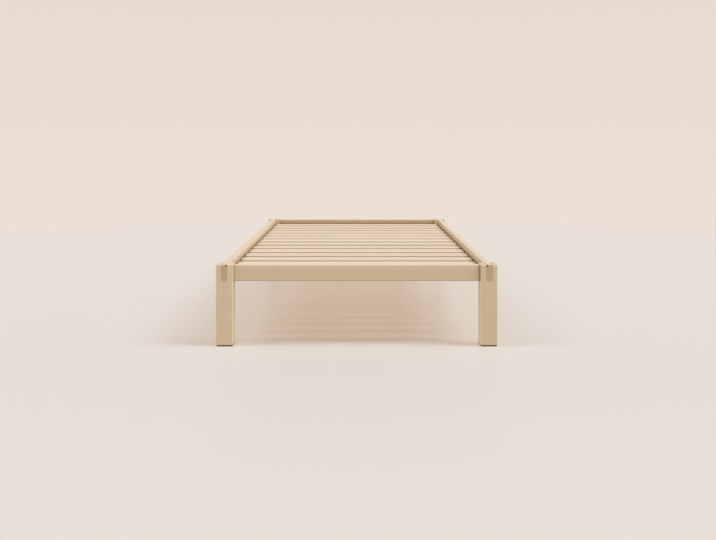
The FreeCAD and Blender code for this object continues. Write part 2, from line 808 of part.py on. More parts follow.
def group(label, master, spots):
    """One compound of separate solids: the master at each spot of (x, y, z, axis, degrees)."""
    members = []
    for i, (x, y, z, axis, degrees) in enumerate(spots, 1):
        link = doc.addObject("App::Link", "%s_%02d" % (label, i))
        link.LinkedObject = master
        link.Placement = FreeCAD.Placement(
            Vector(0, 0, 0), FreeCAD.Rotation(Vector(*axis), degrees)
        )
        for name, amount in (("x", x), ("y", y), ("z", z)):
            link.setExpression("Placement.Base." + name, size(amount).text)
        members.append(link)
    compound = doc.addObject("Part::Compound", label)
    compound.Links = members
    compound.Label = label
    pieces.append((label, compound))
    return compound


# Corner bolt: the underside of the head is at the origin, the shank runs along +Z.
bolt = new_body("corner_bolt")
r, rh, th = S.bolt_shank / 2, S.bolt_head / 2, S.bolt_head_thick
sk = new_sketch(bolt, "corner_bolt_head_profile", "XY_Plane", -th)
draw_circle(sk, S.bolt_head)
pad(bolt, "corner_bolt_head", sk, th)
dress(
    bolt,
    "Fillet",
    "corner_bolt_head_edge",
    size(1.2),
    lambda p: near(p.z, -th.value),
)
sk = new_sketch(bolt, "corner_bolt_shank_profile", "XY_Plane")
draw_circle(sk, S.bolt_shank)
pad(bolt, "corner_bolt_shank", sk, S.bolt_long)
dress(
    bolt,
    "Chamfer",
    "corner_bolt_tip",
    size(0.8),
    lambda p: near(p.z, S.bolt_long.value),
)
sk = new_sketch(bolt, "corner_bolt_socket_profile", "XY_Plane", -th)
flat = S.bolt_socket / 2
corner = S.bolt_socket / math.sqrt(3.0)
draw_chain(
    sk,
    [
        (corner, 0),
        (corner / 2, flat),
        (-corner / 2, flat),
        (-corner, 0),
        (-corner / 2, -flat),
        (corner / 2, -flat),
    ],
)
pocket(bolt, "corner_bolt_socket", sk, S.bolt_socket_deep, along_normal=True)

# Barrel nut: a cylinder along Z of the body, centred, with the bolt's hole along X.
nut = new_body("cross_dowel")
sk = new_sketch(nut, "cross_dowel_profile", "XY_Plane")
draw_circle(sk, S.nut_wide)
pad(nut, "cross_dowel_barrel", sk, S.nut_long, both=True)
dress(
    nut,
    "Chamfer",
    "cross_dowel_ends",
    size(0.6),
    lambda p: near(abs(p.z), S.nut_long.value / 2),
)
sk = new_sketch(nut, "cross_dowel_thread_profile", "YZ_Plane")
draw_circle(sk, S.bolt_shank)
pocket(nut, "cross_dowel_thread", sk, S.nut_wide * 2, both=True)
sk = new_sketch(nut, "cross_dowel_slot_profile", "XY_Plane", S.nut_long / 2)
draw_rectangle(sk, S.nut_wide * 2, S.nut_slot_wide)
pocket(nut, "cross_dowel_slot", sk, S.nut_slot_deep)

# Slat screw: pan head. The underside of the head is at the origin, the shank runs along +Z.
pan = new_body("slat_screw")
sk = new_sketch(pan, "slat_screw_head_profile", "XY_Plane", -S.slat_screw_head_thick)
draw_circle(sk, S.slat_screw_head)
pad(pan, "slat_screw_head_disc", sk, S.slat_screw_head_thick)
dress(
    pan,
    "Fillet",
    "slat_screw_head_dome",
    size(1.6),
    lambda p: near(p.z, -S.slat_screw_head_thick.value),
)
sk = new_sketch(pan, "slat_screw_shank_profile", "XY_Plane")
draw_circle(sk, S.slat_screw_wide)
pad(pan, "slat_screw_shank", sk, S.slat_screw_long)
dress(
    pan,
    "Chamfer",
    "slat_screw_tip",
    size(1.5),
    lambda p: near(p.z, S.slat_screw_long.value),
)
make_driver_recess(pan, "slat_screw", -S.slat_screw_head_thick)

# Ledger screw: countersunk. The flat of the head is at the origin, the shank runs along +Z.
csk = new_body("ledger_screw")
rs, rc = S.ledger_screw_wide / 2, S.ledger_screw_head / 2
sk = new_sketch(csk, "ledger_screw_profile", "XZ_Plane")
draw_chain(
    sk,
    [
        (0, 0),
        (rc, 0),
        (rs, rc - rs),
        (rs, S.ledger_screw_long - 5),
        (size(0.4), S.ledger_screw_long),
        (0, S.ledger_screw_long),
    ],
)
turn = csk.newObject("PartDesign::Revolution", "ledger_screw_turning")
turn.Profile = sk
turn.ReferenceAxis = (origin_plane(csk, "Z_Axis"), [""])
turn.Angle = 360
finish(turn)
make_driver_recess(csk, "ledger_screw", size(0.0))

# Corner bolts, heads in the recesses on the posts' outer sides.
head_x = S.bed_width / 2 - S.recess_deep
Y_AXIS, Z_AXIS, X_AXIS = (0, 1, 0), (0, 0, 1), (1, 0, 0)
group(
    "corner_bolts",
    bolt,
    [
        (-head_x, -post_y, S.bolt_level, Y_AXIS, 90),
        (-head_x, post_y, S.bolt_level, Y_AXIS, 90),
        (head_x, -post_y, S.bolt_level, Y_AXIS, -90),
        (head_x, post_y, S.bolt_level, Y_AXIS, -90),
    ],
)

# Barrel nuts, slotted ends towards the middle of the bed.
nut_x = clear_x / 2 - S.nut_reach
group(
    "cross_dowels",
    nut,
    [
        (-nut_x, -post_y, S.bolt_level, X_AXIS, -90),
        (nut_x, -post_y, S.bolt_level, X_AXIS, -90),
        (-nut_x, post_y, S.bolt_level, X_AXIS, 90),
        (nut_x, post_y, S.bolt_level, X_AXIS, 90),
    ],
)

# Slat screws, upwards through the ledgers.
spots = []
for number in range(int(S.slat_count.value)):
    y = pitch * number - first_slat
    for x in (-screw_x, screw_x):
        spots.append((x, y, rail_foot + S.slat_screw_sunk, Z_AXIS, 0))
group("slat_screws", pan, spots)

# Ledger screws, outwards through the ledgers into the side rails.
spots = []
for number in range(int(S.ledger_screw_count.value)):
    y = ledger_screw_pitch * number - first_ledger_screw
    z = rail_foot + ledger_tall / 2
    spots.append((S.ledger_wide - inner_x, y, z, Y_AXIS, -90))
    spots.append((inner_x - S.ledger_wide, y, z, Y_AXIS, 90))
group("ledger_screws", csk, spots)

# ---------------------------------------------------------------- tests, then the files
doc.recompute()
for thing in doc.Objects:
    if "Invalid" in thing.State or "Error" in thing.State:
        raise RuntimeError("%s failed to recompute" % thing.Label)

EXPECTED = {"corner_bolts": 4, "cross_dowels": 4, "slat_screws": 28, "ledger_screws": 12}
box = FreeCAD.BoundBox()
for label, thing in pieces:
    shape = thing.Shape
    if shape.isNull() or not shape.isValid():
        raise RuntimeError("%s has no valid shape" % label)
    if len(shape.Solids) != EXPECTED.get(label, 1):
        raise RuntimeError("%s holds %d solids" % (label, len(shape.Solids)))
    box.add(shape.BoundBox)
labels = [label for label, thing in pieces]
if len(set(labels)) != len(labels):
    raise RuntimeError("two pieces share a name")

os.makedirs("parts", exist_ok=True)
for label, thing in pieces:
    thing.Shape.exportStep("parts/%s.step" % label)
print(
    "%d nodes, box %.2f x %.2f x %.2f mm, lowest %.3f"
    % (len(pieces), box.XLength, box.YLength, box.ZLength, box.ZMin)
)
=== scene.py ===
"""Looks for the toddler floor bed: pale planed wood, felt pads and zinc-plated fasteners,
on a plain pale floor in soft studio light. Every piece keeps its modelled shape and place."""

import math

import bpy
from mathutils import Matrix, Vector


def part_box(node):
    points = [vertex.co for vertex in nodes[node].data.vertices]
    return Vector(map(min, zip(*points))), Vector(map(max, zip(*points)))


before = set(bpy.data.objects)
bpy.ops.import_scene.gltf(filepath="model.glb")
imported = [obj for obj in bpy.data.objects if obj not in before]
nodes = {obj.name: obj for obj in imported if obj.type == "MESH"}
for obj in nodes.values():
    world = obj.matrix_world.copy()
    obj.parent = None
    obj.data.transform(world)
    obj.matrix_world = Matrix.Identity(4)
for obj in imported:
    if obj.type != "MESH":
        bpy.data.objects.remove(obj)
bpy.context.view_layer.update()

scene = bpy.context.scene
scene.view_settings.view_transform = "Standard"
scene.view_settings.look = "None"
scene.view_settings.exposure = 0.0
scene.view_settings.gamma = 1.0

# ---------------------------------------------------------------- camera
# One-point view from the foot end, level, a little above the bed. The frame is 716 x 540.
FRAME_W = 716.0
FOCAL = 872.0  # pixels
cam_data = bpy.data.cameras.new("camera")
cam_data.sensor_fit = "HORIZONTAL"
cam_data.sensor_width = 36.0
cam_data.lens = FOCAL / FRAME_W * 36.0
cam_data.shift_x = 1.3 / FRAME_W
cam_data.shift_y = -126.0 / FRAME_W
cam_data.clip_start = 0.05
cam_data.clip_end = 60.0
camera = bpy.data.objects.new("camera", cam_data)
camera.location = (0.0, -3.14, 0.5574)
camera.rotation_euler = (math.radians(90.0), 0.0, 0.0)
scene.collection.objects.link(camera)
scene.camera = camera


# ---------------------------------------------------------------- node helpers
class Graph:
    """Small wrapper that adds nodes to a tree and joins them."""

    def __init__(self, tree):
        self.tree = tree

    def node(self, kind, **props):
        made = self.tree.nodes.new(kind)
        for key, value in props.items():
            setattr(made, key, value)
        return made

    def feed(self, socket, value):
        if isinstance(value, bpy.types.NodeSocket):
            self.tree.links.new(value, socket)
        else:
            socket.default_value = value

    def math(self, op, a, b=None, c=None, clamp=False):
        n = self.node("ShaderNodeMath", operation=op, use_clamp=clamp)
        self.feed(n.inputs[0], a)
        if b is not None:
            self.feed(n.inputs[1], b)
        if c is not None:
            self.feed(n.inputs[2], c)
        return n.outputs[0]

    def vmath(self, op, a, b=None, c=None):
        n = self.node("ShaderNodeVectorMath", operation=op)
        self.feed(n.inputs[0], a)
        if b is not None:
            self.feed(n.inputs[1], b)
        if c is not None:
            self.feed(n.inputs[2], c)
        return n.outputs["Value"] if op in ("LENGTH", "DOT_PRODUCT") else n.outputs[0]

    def noise(self, vector, scale=1.0, detail=2.0, rough=0.5, lacunarity=2.0):
        n = self.node("ShaderNodeTexNoise", noise_dimensions="3D", normalize=True)
        self.feed(n.inputs["Vector"], vector)
        n.inputs["Scale"].default_value = scale
        n.inputs["Detail"].default_value = detail
        n.inputs["Roughness"].default_value = rough
        n.inputs["Lacunarity"].default_value = lacunarity
        return n.outputs[0]

    def ramp(self, value, low, high, to_low=0.0, to_high=1.0, kind="SMOOTHSTEP"):
        n = self.node("ShaderNodeMapRange", interpolation_type=kind, clamp=True)
        self.feed(n.inputs["Value"], value)
        self.feed(n.inputs["From Min"], low)
        self.feed(n.inputs["From Max"], high)
        self.feed(n.inputs["To Min"], to_low)
        self.feed(n.inputs["To Max"], to_high)
        return n.outputs["Result"]

    def mix(self, factor, a, b, blend="MIX"):
        n = self.node(
            "ShaderNodeMix", data_type="RGBA", blend_type=blend, clamp_factor=True
        )
        self.feed(n.inputs[0], factor)
        self.feed(n.inputs[6], a)
        self.feed(n.inputs[7], b)
        return n.outputs[2]

    def split(self, vector):
        n = self.node("ShaderNodeSeparateXYZ")
        self.feed(n.inputs[0], vector)
        return n.outputs[0], n.outputs[1], n.outputs[2]

    def join(self, x, y, z):
        n = self.node("ShaderNodeCombineXYZ")
        self.feed(n.inputs[0], x)
        self.feed(n.inputs[1], y)
        self.feed(n.inputs[2], z)
        return n.outputs[0]


def rgba(r, g, b):
    return (r, g, b, 1.0)


# ---------------------------------------------------------------- wood
def make_wood_group():
    """Solid wood: growth rings round a pith line outside the board, cut by the board's faces.

    Vector holds the place in the board in metres, with Z along the grain and its middle at zero.
    """
    group = bpy.data.node_groups.new("solid_wood", "ShaderNodeTree")
    face = group.interface
    for name, kind in (
        ("Vector", "NodeSocketVector"),
        ("Normal", "NodeSocketVector"),
        ("Half", "NodeSocketVector"),
        ("Seed", "NodeSocketFloat"),
        ("Pith U", "NodeSocketFloat"),
        ("Pith V", "NodeSocketFloat"),
        ("Tilt U", "NodeSocketFloat"),
        ("Tilt V", "NodeSocketFloat"),
        ("Ring", "NodeSocketFloat"),
        ("Figure", "NodeSocketFloat"),
        ("Painted Edge Shade", "NodeSocketFloat"),
        ("Matt", "NodeSocketFloat"),
        ("Early", "NodeSocketColor"),
        ("Late", "NodeSocketColor"),
        ("End", "NodeSocketColor"),
    ):
        face.new_socket(name, in_out="INPUT", socket_type=kind)
    for name, kind in (
        ("Color", "NodeSocketColor"),
        ("Roughness", "NodeSocketFloat"),
        ("Height", "NodeSocketFloat"),
    ):
        face.new_socket(name, in_out="OUTPUT", socket_type=kind)
    g = Graph(group)
    src = g.node("NodeGroupInput").outputs
    out = g.node("NodeGroupOutput").inputs

    place = src["Vector"]
    seed = src["Seed"]
    shift = g.join(
        g.math("MULTIPLY", seed, 3.17),
        g.math("MULTIPLY", seed, 1.71),
        g.math("MULTIPLY", seed, 5.39),
    )
    here = g.vmath("ADD", place, shift)
    u, v, w = g.split(place)

    def field(fu, fv, fw, detail=2.0, rough=0.5):
        return g.noise(g.vmath("MULTIPLY", here, (fu, fv, fw)), 1.0, detail, rough)

    # Slow wander of the rings, long along the grain.
    wander_u = g.math("MULTIPLY", g.math("SUBTRACT", field(6.0, 6.0, 1.1), 0.5), 0.030)
    wander_v = g.math("MULTIPLY", g.math("SUBTRACT", field(5.0, 7.3, 1.4), 0.5), 0.030)
    ripple = g.math(
        "MULTIPLY", g.math("SUBTRACT", field(70.0, 70.0, 4.0, 3.0), 0.5), 0.0016
    )
    du = g.math(
        "ADD",
        g.math("SUBTRACT", g.math("SUBTRACT", u, src["Pith U"]), g.math("MULTIPLY", w, src["Tilt U"])),
        wander_u,
    )
    dv = g.math(
        "ADD",
        g.math("SUBTRACT", g.math("SUBTRACT", v, src["Pith V"]), g.math("MULTIPLY", w, src["Tilt V"])),
        wander_v,
    )
    radius = g.math(
        "ADD",
        g.math("SQRT", g.math("ADD", g.math("MULTIPLY", du, du), g.math("MULTIPLY", dv, dv))),
        ripple,
    )
    turns = g.math("DIVIDE", radius, src["Ring"])
    # Uneven years: wide and narrow rings.
    uneven = g.noise(
        g.join(g.math("MULTIPLY", radius, 55.0), seed, 0.0), 1.0, 2.0, 0.6
    )
    turns = g.math("ADD", turns, g.math("MULTIPLY", uneven, 2.6))
    phase = g.math("FRACT", turns)
    late = g.math(
        "MULTIPLY",
        g.ramp(phase, 0.25, 0.92),
        g.math("SUBTRACT", 1.0, g.ramp(phase, 0.94, 1.0)),
    )
    year = g.node("ShaderNodeTexWhiteNoise", noise_dimensions="2D")
    g.feed(
        year.inputs["Vector"], g.join(g.math("FLOOR", turns), seed, 0.0)
    )
    strength = g.math("MULTIPLY_ADD", year.outputs["Value"], 0.6, 0.4)
    rings = g.math("MULTIPLY", late, strength)

    # Fibres, streaks and short open pores along the grain, and slow changes of tone.
    fibre = field(900.0, 900.0, 11.0, 3.0, 0.6)
    streak = field(150.0, 150.0, 2.2, 3.0, 0.55)
    band = field(34.0, 34.0, 0.9, 2.0, 0.5)
    tone = field(7.0, 7.0, 1.3, 2.0, 0.5)
    pore = g.ramp(field(2100.0, 2100.0, 75.0, 1.0, 0.5), 0.60, 0.72)
    ray = g.ramp(field(260.0, 900.0, 120.0, 1.0, 0.5), 0.62, 0.78)

    nu, nv, nw = g.split(src["Normal"])
    end = g.ramp(g.math("ABSOLUTE", nw), 0.55, 0.9)

    value = g.math("MULTIPLY", rings, src["Figure"])
    for part, amount in ((fibre, 0.26), (streak, 0.36), (band, 0.34), (tone, 0.34)):
        value = g.math("MULTIPLY_ADD", g.math("SUBTRACT", part, 0.5), amount, value)
    value = g.math("MULTIPLY_ADD", pore, 0.16, value)
    value = g.math("MULTIPLY_ADD", g.math("MULTIPLY", end, rings), 0.35, value)
    value = g.math("ADD", value, 0.18, clamp=True)
    color = g.mix(value, src["Early"], src["Late"])
    color = g.mix(g.math("MULTIPLY", ray, 0.10), color, src["Early"])
    color = g.mix(end, color, g.mix(1.0, color, src["End"], "MULTIPLY"))
    # The board's edge faces, seen only in the narrow spaces between the slats, are darkened: painted
    # shade.
    painted_edge_shade = g.math("MULTIPLY", g.ramp(g.math("ABSOLUTE", nu), 0.80, 0.97), src["Painted Edge Shade"])
    color = g.mix(painted_edge_shade, color, g.mix(1.0, color, rgba(0.66, 0.60, 0.54), "MULTIPLY"))

    # Handled edges: a little paler and smoother. Distance to the nearest edge of the board.
    au, av, aw = (g.math("ABSOLUTE", c) for c in (u, v, w))
    hu, hv, hw = g.split(src["Half"])
    gu, gv, gw = (
        g.math("ABSOLUTE", g.math("SUBTRACT", h, a))
        for h, a in ((hu, au), (hv, av), (hw, aw))
    )
    edge = g.math(
        "MAXIMUM",
        g.math("MINIMUM", gu, gv),
        g.math("MINIMUM", g.math("MAXIMUM", gu, gv), gw),
    )
    ragged = g.math(
        "MULTIPLY_ADD", g.math("SUBTRACT", field(60.0, 60.0, 9.0, 3.0), 0.5), 0.004, edge
    )
    worn = g.math("SUBTRACT", 1.0, g.ramp(ragged, 0.0004, 0.0034))
    color = g.mix(
        g.math("MULTIPLY", worn, 0.30), color, g.mix(0.5, src["Early"], rgba(0.92, 0.84, 0.72))
    )

    rough = g.math("MULTIPLY_ADD", g.math("SUBTRACT", fibre, 0.5), 0.10, src["Matt"])
    rough = g.math("MULTIPLY_ADD", g.math("SUBTRACT", tone, 0.5), 0.10, rough)
    rough = g.math("MULTIPLY_ADD", end, 0.16, rough)
    rough = g.math("MULTIPLY_ADD", worn, -0.06, rough)
    height = g.math("MULTIPLY", fibre, 0.45)
    height = g.math("MULTIPLY_ADD", streak, 0.35, height)
    height = g.math("MULTIPLY_ADD", pore, -0.40, height)
    height = g.math("MULTIPLY_ADD", rings, 0.18, height)
    g.feed(out["Color"], color)
    g.feed(out["Roughness"], rough)
    g.feed(out["Height"], height)
    return group


WOOD = make_wood_group()


def scatter(seed, k):
    """A fixed number from 0 to 1 for each board and use."""
    x = math.sin(seed * 12.9898 + k * 78.233) * 43758.5453
    return x - math.floor(x)


def wood_material(
    name,
    grain,
    seed,
    early,
    late,
    pith=(0.06, 0.02),
    ring=0.0034,
    figure=0.36,
    matt=0.34,
    painted_edge_shade=0.0,
    end=(0.84, 0.75, 0.71),
    top=None,
    inner=None,
    inner_painted_shade=(1.0, 1.0, 1.0),
    shoulder=None,
    tongue=None,
    cheek=None,
    cheek_painted_light=(1.0, 1.0, 1.0),
    cheek_painted_shadow=(1.0, 1.0, 1.0),
):
    """Wood for one board. grain is the axis that the board runs along.

    top is a painted tone for the upward faces: painted light, paler and cooler, for the light from
    above.
    inner is the direction of the face that meets the slats: that face is painted darker, and
    darker still just above the slats, as painted shade in the recess. shoulder and tongue are
    distances from the board's middle beyond which painted shadow marks the joint with the leg:
    on the end rails right at the shoulder, on the side rails in the corner beside the tongue's
    rounded edge.
    cheek is the direction of a leg's side towards the other leg: that side gets painted light
    as a whole and painted shadow where the end rail meets it.
    """
    low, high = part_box(name)
    middle = tuple((low[i] + high[i]) / 2 for i in range(3))
    half = tuple((high[i] - low[i]) / 2 for i in range(3))
    order = {"X": (1, 2, 0), "Y": (0, 2, 1), "Z": (0, 1, 2)}[grain]

    material = bpy.data.materials.new("wood_" + name)
    material.use_nodes = True
    tree = material.node_tree
    tree.nodes.clear()
    g = Graph(tree)
    coords = g.node("ShaderNodeTexCoord")
    place = g.vmath("SUBTRACT", coords.outputs["Object"], middle)
    p = g.split(place)
    n = g.split(coords.outputs["Normal"])
    wood = g.node("ShaderNodeGroup", node_tree=WOOD)
    g.feed(wood.inputs["Vector"], g.join(*(p[i] for i in order)))
    g.feed(wood.inputs["Normal"], g.join(*(n[i] for i in order)))
    wood.inputs["Half"].default_value = tuple(half[i] for i in order)
    wood.inputs["Seed"].default_value = seed
    side = 1.0 if scatter(seed, 1) > 0.5 else -1.0
    wood.inputs["Pith U"].default_value = pith[0] * side * (0.8 + 0.5 * scatter(seed, 2))
    wood.inputs["Pith V"].default_value = pith[1] * (2.0 * scatter(seed, 3) - 1.0)
    wood.inputs["Tilt U"].default_value = 0.030 * (scatter(seed, 4) - 0.5)
    wood.inputs["Tilt V"].default_value = 0.030 * (scatter(seed, 5) - 0.5)
    wood.inputs["Ring"].default_value = ring * (0.85 + 0.4 * scatter(seed, 6))
    tint = 1.0 + 0.07 * (scatter(seed, 7) - 0.5)
    warm = 1.0 + 0.05 * (scatter(seed, 8) - 0.5)
    wood.inputs["Early"].default_value = rgba(early[0] * tint, early[1] * tint, early[2] * tint * warm)
    wood.inputs["Late"].default_value = rgba(late[0] * tint, late[1] * tint, late[2] * tint * warm)
    wood.inputs["End"].default_value = rgba(*end)
    wood.inputs["Figure"].default_value = figure
    wood.inputs["Matt"].default_value = matt
    wood.inputs["Painted Edge Shade"].default_value = painted_edge_shade
    color = wood.outputs["Color"]

    def shade(factor, tone):
        return g.mix(factor, color, g.mix(1.0, color, rgba(*tone), "MULTIPLY"))

    # Painted light: upward faces are tinted paler and cooler, for the light from above.
    if top:
        color = shade(g.ramp(n[2], 0.6, 0.95), top)
    # Painted shadow: the end rail is darkened right beside each leg, more at the +X end than at the -X
    # end.
    if shoulder:
        along = p["XYZ".index(grain)]
        for sign, tone in ((-1.0, (0.80, 0.76, 0.72)), (1.0, (0.64, 0.57, 0.50))):
            reach = g.math("MULTIPLY", along, sign)
            color = shade(g.ramp(reach, shoulder - 0.0060, shoulder - 0.0015), tone)
        # The lower edges stay in the shade.
        color = shade(g.ramp(g.math("MULTIPLY", n[2], -1.0), 0.10, 0.50), (0.48, 0.42, 0.37))
    # Painted shadow: a dark quarter disc on the tongue's end at its upper inner corner, beside the
    # leg.
    if tongue:
        along = g.math("ABSOLUTE", p["XYZ".index(grain)])
        tip = half["XYZ".index(grain)]
        wall = middle[0] + inner[0] * tongue
        across = g.math("SUBTRACT", g.split(coords.outputs["Object"])[0], wall)
        down = g.math("SUBTRACT", g.split(coords.outputs["Object"])[2], high[2])
        corner = g.vmath("LENGTH", g.join(across, 0.0, g.math("MULTIPLY", down, 0.72)))
        painted_gap_shadow = g.math(
            "MULTIPLY",
            g.ramp(along, tip - 0.0110, tip - 0.0080),
            g.math("SUBTRACT", 1.0, g.ramp(corner, 0.0042, 0.0056)),
        )
        color = shade(painted_gap_shadow, (0.26, 0.17, 0.115))
    # Painted light over the leg's side towards the other leg, and painted shadow on it above the end
    # rail's lower edge.
    if cheek:
        facing = g.ramp(g.vmath("DOT_PRODUCT", coords.outputs["Normal"], cheek), 0.5, 0.8)
        color = shade(facing, cheek_painted_light)
        height = g.split(coords.outputs["Object"])[2]
        color = shade(g.math("MULTIPLY", facing, g.ramp(height, 0.1765, 0.1795)), cheek_painted_shadow)
    # Painted shade: the face toward the slats is darkened, and more just above the slats.
    if inner:
        facing = g.ramp(g.vmath("DOT_PRODUCT", coords.outputs["Normal"], inner), 0.5, 0.8)
        color = shade(facing, inner_painted_shade)
        height = g.split(coords.outputs["Object"])[2]
        painted_recess_shade = g.math("SUBTRACT", 1.0, g.ramp(height, 0.2065, 0.2130))
        color = shade(g.math("MULTIPLY", facing, painted_recess_shade), (0.70, 0.63, 0.56))
    bump = g.node("ShaderNodeBump")
    bump.inputs["Strength"].default_value = 0.35
    bump.inputs["Distance"].default_value = 0.00025
    g.feed(bump.inputs["Height"], wood.outputs["Height"])
    shader = g.node("ShaderNodeBsdfPrincipled")
    shader.inputs["IOR"].default_value = 1.5
    shader.inputs["Specular IOR Level"].default_value = 0.5
    g.feed(shader.inputs["Base Color"], color)
    g.feed(shader.inputs["Roughness"], wood.outputs["Roughness"])
    g.feed(shader.inputs["Normal"], bump.outputs["Normal"])
    output = g.node("ShaderNodeOutputMaterial")
    g.feed(output.inputs["Surface"], shader.outputs[0])
    return material


def dress(name, material):
    """Puts a material on every slot of a CAD piece."""
    data = nodes[name].data
    data.materials.clear()
    data.materials.append(material)


FRAME_EARLY = (0.78, 0.615, 0.43)
FRAME_LATE = (0.62, 0.445, 0.275)
# The slats' paler, cooler wood is partly painted light: close to the tone the frame's upward faces are
# painted with, for the light from above.
SLAT_EARLY = (0.76, 0.645, 0.495)
SLAT_LATE = (0.62, 0.48, 0.33)


def tinted(color, red, green, blue):
    return (color[0] * red, color[1] * green, color[2] * blue)


# Painted light: the tint of the frame's upward faces, for the cooler light from above.
FRAME_PAINTED_TOP_LIGHT = (0.96, 1.01, 1.09)
BETWEEN_X = 0.388 - 0.047  # half the clear width between the legs
TONGUE_HALF = 0.008
for i, name in enumerate(sorted(n for n in nodes if n.startswith("leg_"))):
    left = name.endswith("left")
    dress(
        name,
        wood_material(
            name,
            "Z",
            1.37 + i * 2.11,
            FRAME_EARLY,
            FRAME_LATE,
            (0.045, 0.035),
            # The legs' end grain, seen on their tops, is paler than on the other boards: painted light
            # from above.
            end=(0.94, 0.90, 0.88),
            top=FRAME_PAINTED_TOP_LIGHT,
            cheek=(1.0 if left else -1.0, 0.0, 0.0),
            # The right legs' sides get more painted light and a deeper painted shadow than the left
            # legs'.
            cheek_painted_light=(1.03, 1.06, 1.06) if left else (1.07, 1.11, 1.15),
            cheek_painted_shadow=(0.92, 0.90, 0.88) if left else (0.62, 0.56, 0.50),
        ),
    )
# The side rails' faces toward the slats get painted shade, deeper on the right rail.
for i, (name, side, tint) in enumerate(
    (
        ("side_rail_left", 1.0, (0.95, 0.98, 0.99)),
        ("side_rail_right", -1.0, (0.83, 0.82, 0.78)),
    )
):
    dress(
        name,
        wood_material(
            name,
            "Y",
            11.3 + i * 3.7,
            FRAME_EARLY,
            FRAME_LATE,
            (0.02, 0.08),
            top=FRAME_PAINTED_TOP_LIGHT,
            inner=(side, 0.0, 0.0),
            inner_painted_shade=tint,
            tongue=TONGUE_HALF,
        ),
    )
dress(
    "end_rail_front",
    wood_material(
        "end_rail_front",
        "X",
        17.9,
        FRAME_EARLY,
        FRAME_LATE,
        (0.015, 0.09),
        top=FRAME_PAINTED_TOP_LIGHT,
        inner=(0.0, 1.0, 0.0),
        shoulder=BETWEEN_X,
    ),
)
# The rail at the head end is painted darker than the other boards: painted shade, as its face above
# the slats gets less light.
dress(
    "end_rail_back",
    wood_material(
        "end_rail_back",
        "X",
        21.0,
        tinted(FRAME_EARLY, 0.79, 0.77, 0.75),
        tinted(FRAME_LATE, 0.79, 0.77, 0.75),
        (0.015, 0.09),
        inner=(0.0, -1.0, 0.0),
        shoulder=BETWEEN_X,
    ),
)
for i, name in enumerate(("slat_ledger_left", "slat_ledger_right")):
    dress(name, wood_material(name, "Y", 23.1 + i * 2.9, FRAME_EARLY, FRAME_LATE, (0.04, 0.03)))
for i in range(1, 15):
    name = "slat_%02d" % i
    dress(
        name,
        wood_material(
            name,
            "X",
            31.7 + i * 1.93,
            SLAT_EARLY,
            SLAT_LATE,
            (0.02, 0.07),
            figure=0.34,
            matt=0.44,
            # Painted shade on the slats' edge faces, which are seen between the slats.
            painted_edge_shade=1.0,
        ),
    )


# ---------------------------------------------------------------- felt and metal
def felt_material():
    material = bpy.data.materials.new("dark_felt")
    material.use_nodes = True
    tree = material.node_tree
    tree.nodes.clear()
    g = Graph(tree)
    place = g.node("ShaderNodeTexCoord").outputs["Object"]
    fuzz = g.noise(place, 1800.0, 4.0, 0.7)
    lump = g.noise(place, 260.0, 3.0, 0.6)
    strands = g.node("ShaderNodeTexVoronoi", feature="DISTANCE_TO_EDGE")
    g.feed(strands.inputs["Vector"], g.vmath("MULTIPLY", place, (1.0, 1.3, 2.2)))
    strands.inputs["Scale"].default_value = 900.0
    value = g.math("ADD", g.math("MULTIPLY", fuzz, 0.7), g.math("MULTIPLY", lump, 0.3))
    color = g.mix(g.ramp(value, 0.3, 0.7), rgba(0.026, 0.020, 0.015), rgba(0.090, 0.070, 0.053))
    bump = g.node("ShaderNodeBump")
    bump.inputs["Strength"].default_value = 0.8
    bump.inputs["Distance"].default_value = 0.0006
    g.feed(bump.inputs["Height"], g.math("ADD", value, strands.outputs["Distance"]))
    shader = g.node("ShaderNodeBsdfPrincipled")
    g.feed(shader.inputs["Base Color"], color)
    shader.inputs["Roughness"].default_value = 0.95
    shader.inputs["Specular IOR Level"].default_value = 0.15
    shader.inputs["Sheen Weight"].default_value = 0.25
    shader.inputs["Sheen Roughness"].default_value = 0.6
    g.feed(shader.inputs["Normal"], bump.outputs["Normal"])
    output = g.node("ShaderNodeOutputMaterial")
    g.feed(output.inputs["Surface"], shader.outputs[0])
    return material


def zinc_material():
    material = bpy.data.materials.new("zinc_plated_steel")
    material.use_nodes = True
    tree = material.node_tree
    tree.nodes.clear()
    g = Graph(tree)
    place = g.node("ShaderNodeTexCoord").outputs["Object"]
    cloud = g.noise(place, 220.0, 3.0, 0.6)
    scratch = g.noise(g.vmath("MULTIPLY", place, (400.0, 5200.0, 5200.0)), 1.0, 2.0, 0.6)
    color = g.mix(g.ramp(cloud, 0.3, 0.7), rgba(0.50, 0.50, 0.49), rgba(0.70, 0.69, 0.66))
    rough = g.math("MULTIPLY_ADD", g.math("SUBTRACT", scratch, 0.5), 0.25, 0.32)
    rough = g.math("MULTIPLY_ADD", g.math("SUBTRACT", cloud, 0.5), 0.15, rough)
    bump = g.node("ShaderNodeBump")
    bump.inputs["Strength"].default_value = 0.2
    bump.inputs["Distance"].default_value = 0.0001
    g.feed(bump.inputs["Height"], scratch)
    shader = g.node("ShaderNodeBsdfPrincipled")
    shader.inputs["Metallic"].default_value = 1.0
    g.feed(shader.inputs["Base Color"], color)
    g.feed(shader.inputs["Roughness"], rough)
    g.feed(shader.inputs["Normal"], bump.outputs["Normal"])
    output = g.node("ShaderNodeOutputMaterial")
    g.feed(output.inputs["Surface"], shader.outputs[0])
    return material


FELT = felt_material()
ZINC = zinc_material()
for name in nodes:
    if name.startswith("foot_pad"):
        dress(name, FELT)
for name in ("corner_bolts", "cross_dowels", "slat_screws", "ledger_screws"):
    dress(name, ZINC)


